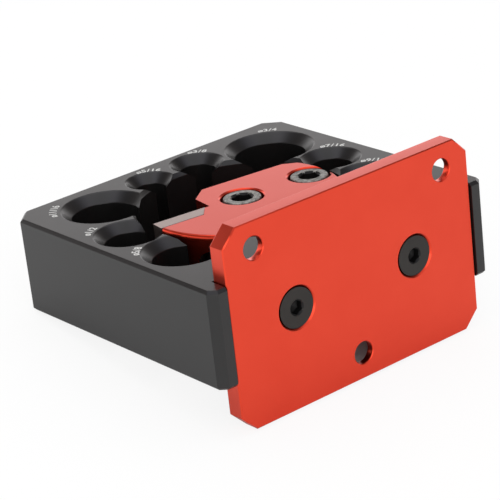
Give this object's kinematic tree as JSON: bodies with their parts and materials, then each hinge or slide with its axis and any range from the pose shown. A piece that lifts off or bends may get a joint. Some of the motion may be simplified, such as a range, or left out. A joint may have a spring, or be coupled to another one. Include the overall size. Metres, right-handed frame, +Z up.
{
  "type": "dowel maker jig",
  "caption": "Dowel maker jig: aluminium guide block with a ring of flared bores, a blade carrier that swings to any bore, and a mounting plate.",
  "frame": {"origin": "middle of the jig's footprint, at the height of the mounting plate's lower edge", "axes": "+Z up along the bores, towards their flared mouths; the mounting plate faces -Y; +X runs to the right along the plate"},
  "size_m": [0.0884, 0.0822, 0.0516],
  "materials": {
    "black_anodised_aluminium": "satin black anodised",
    "red_anodised_aluminium": "satin red anodised",
    "black_oxide_steel": "black oxide, oiled",
    "phosphated_steel": "grey phosphated",
    "ground_tool_steel": "ground"
  },
  "bodies": {
    "block": {"guide_block": "black_anodised_aluminium", "mounting_plate": "red_anodised_aluminium", "plate_screw_left": "black_oxide_steel", "plate_screw_right": "black_oxide_steel", "pivot_screw": "phosphated_steel"},
    "carrier": {"blade_carrier": "red_anodised_aluminium", "cutter_blade": "ground_tool_steel", "blade_clamp_screw": "black_oxide_steel", "index_screw": "phosphated_steel", "slot_nut": "black_oxide_steel"}
  },
  "joints": [
    {"name": "carrier_swing", "type": "hinge", "parent": "block", "child": "carrier", "pos_m": [0, 0.0012, 0.03845], "axis": [0, 0, 1], "range_deg": [-201.4, 34]}
  ]
}
